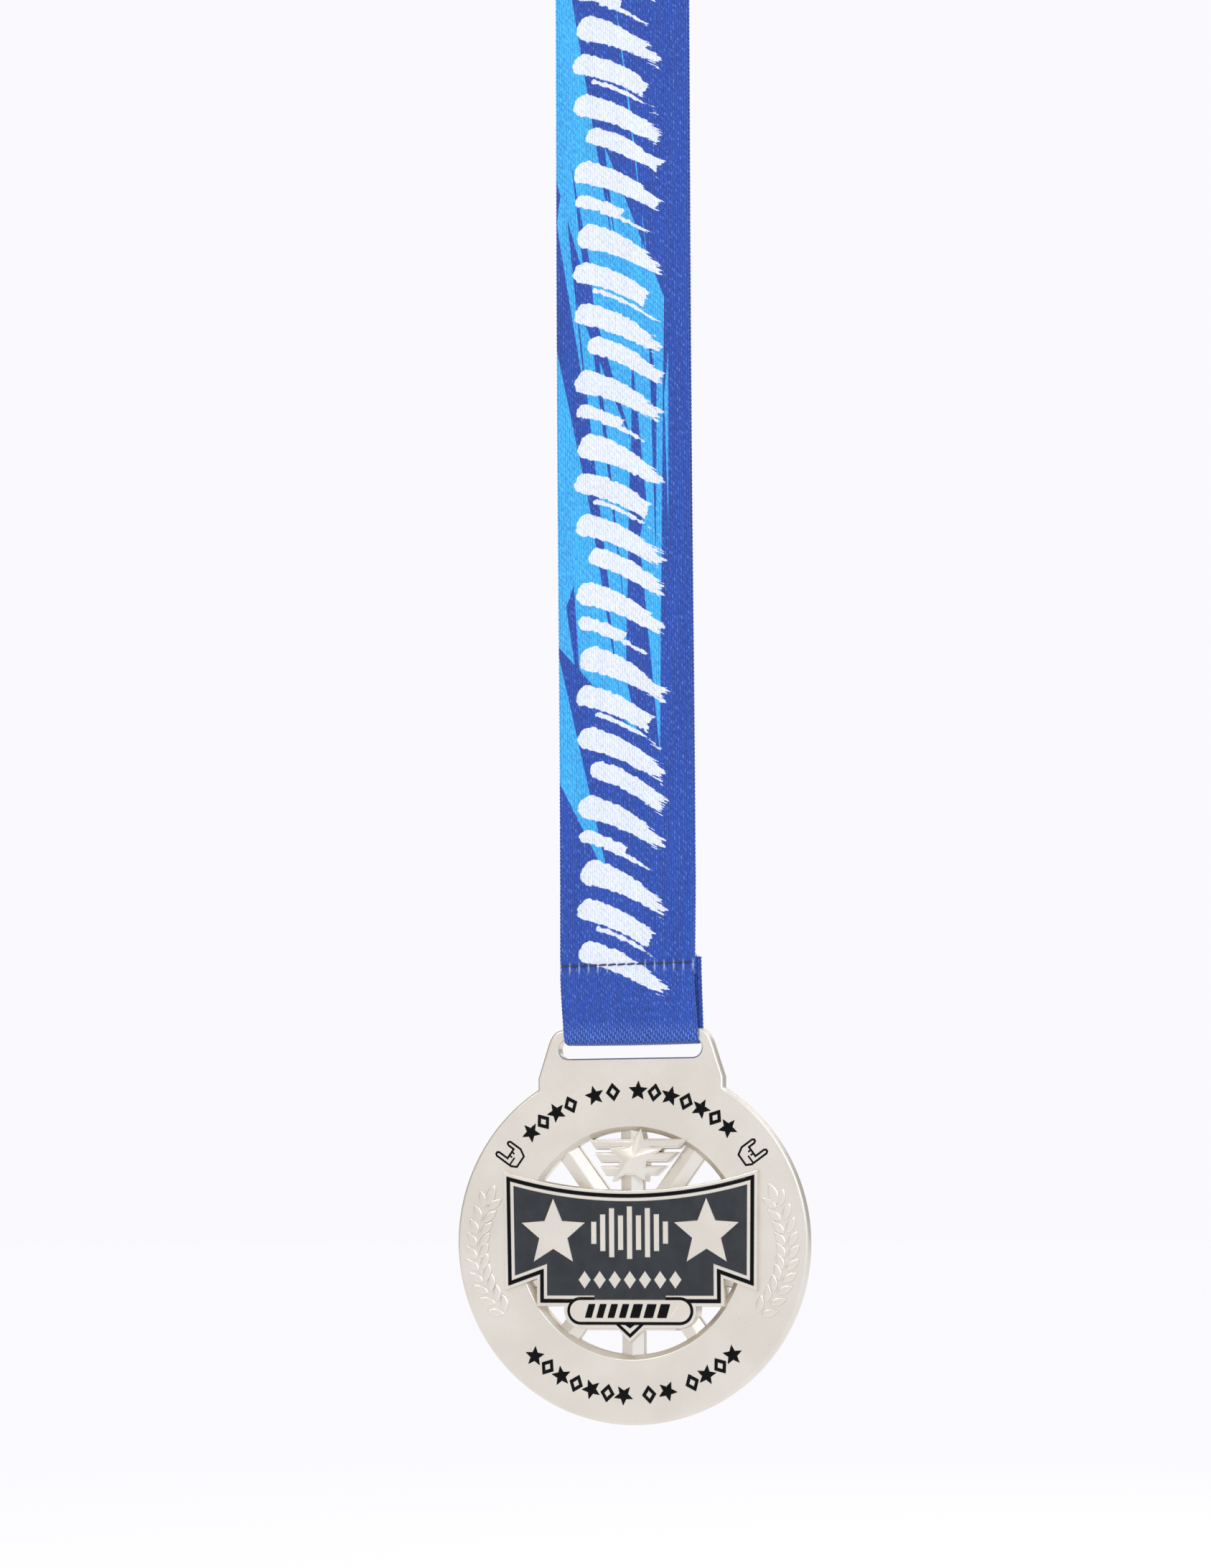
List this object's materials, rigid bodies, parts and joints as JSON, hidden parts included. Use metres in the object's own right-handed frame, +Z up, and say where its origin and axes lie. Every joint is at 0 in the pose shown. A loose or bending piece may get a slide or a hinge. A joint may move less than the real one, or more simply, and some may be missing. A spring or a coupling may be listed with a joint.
{
  "type": "neck medal",
  "caption": "Round openwork cast medal with an enamelled plaque, hung by its slotted lug from a doubled, sewn and printed neck ribbon.",
  "frame": {"origin": "the axis of the rod or peg that the ribbon's neck bend hangs over", "axes": "+Z up, -Y out of the medal's front, +X to the right along the ribbon's width"},
  "size_m": [0.065, 0.0078, 0.4638],
  "materials": {
    "nickel_casting": "satin pearl-nickel plate on a zinc casting",
    "black_enamel": "glossy soft enamel",
    "charcoal_enamel": "satin-gloss soft enamel",
    "printed_ribbon": "woven satin polyester, dye-printed on both sides",
    "navy_thread": "spun polyester sewing thread"
  },
  "bodies": {
    "neck_bend": {"ribbon_neck_bend": "printed_ribbon", "ribbon_front_upper": "printed_ribbon", "ribbon_back_upper": "printed_ribbon"},
    "ribbon_middle": {"ribbon_front_middle": "printed_ribbon", "ribbon_back_middle": "printed_ribbon"},
    "ribbon_lower": {"ribbon_front_lower": "printed_ribbon", "ribbon_back_lower": "printed_ribbon", "ribbon_slot_loop": "printed_ribbon", "seam_bobbin_thread": "navy_thread", "seam_needle_thread": "navy_thread"},
    "medal": {"medal_casting": "nickel_casting", "banner_field_enamel": "charcoal_enamel", "left_hand_enamel": "black_enamel", "lower_mark_enamel_1": "black_enamel", "lower_mark_enamel_10": "black_enamel", "lower_mark_enamel_11": "black_enamel", "lower_mark_enamel_12": "black_enamel", "lower_mark_enamel_13": "black_enamel", "lower_mark_enamel_2": "black_enamel", "lower_mark_enamel_3": "black_enamel", "lower_mark_enamel_4": "black_enamel", "lower_mark_enamel_5": "black_enamel", "lower_mark_enamel_6": "black_enamel", "lower_mark_enamel_7": "black_enamel", "lower_mark_enamel_8": "black_enamel", "lower_mark_enamel_9": "black_enamel", "pill_mark_enamel_1": "black_enamel", "pill_mark_enamel_2": "black_enamel", "pill_mark_enamel_3": "black_enamel", "pill_mark_enamel_4": "black_enamel", "pill_mark_enamel_5": "black_enamel", "pill_mark_enamel_6": "black_enamel", "pill_mark_enamel_7": "black_enamel", "plaque_outline_enamel": "black_enamel", "right_hand_enamel": "black_enamel", "upper_mark_enamel_1": "black_enamel", "upper_mark_enamel_10": "black_enamel", "upper_mark_enamel_11": "black_enamel", "upper_mark_enamel_12": "black_enamel", "upper_mark_enamel_13": "black_enamel", "upper_mark_enamel_2": "black_enamel", "upper_mark_enamel_3": "black_enamel", "upper_mark_enamel_4": "black_enamel", "upper_mark_enamel_5": "black_enamel", "upper_mark_enamel_6": "black_enamel", "upper_mark_enamel_7": "black_enamel", "upper_mark_enamel_8": "black_enamel", "upper_mark_enamel_9": "black_enamel"}
  },
  "joints": [
    {"name": "ribbon_fold", "type": "hinge", "parent": "neck_bend", "child": "ribbon_middle", "pos_m": [0, 0, -0.13], "axis": [1, 0, 0], "range_deg": [-75, 75]},
    {"name": "ribbon_twist", "type": "hinge", "parent": "ribbon_middle", "child": "ribbon_lower", "pos_m": [0, 0, -0.26], "axis": [0, 0, 1], "range_deg": [-90, 90]},
    {"name": "medal_swing", "type": "hinge", "parent": "ribbon_lower", "child": "medal", "pos_m": [0, 0, -0.39], "axis": [1, 0, 0], "range_deg": [-90, 90]}
  ]
}
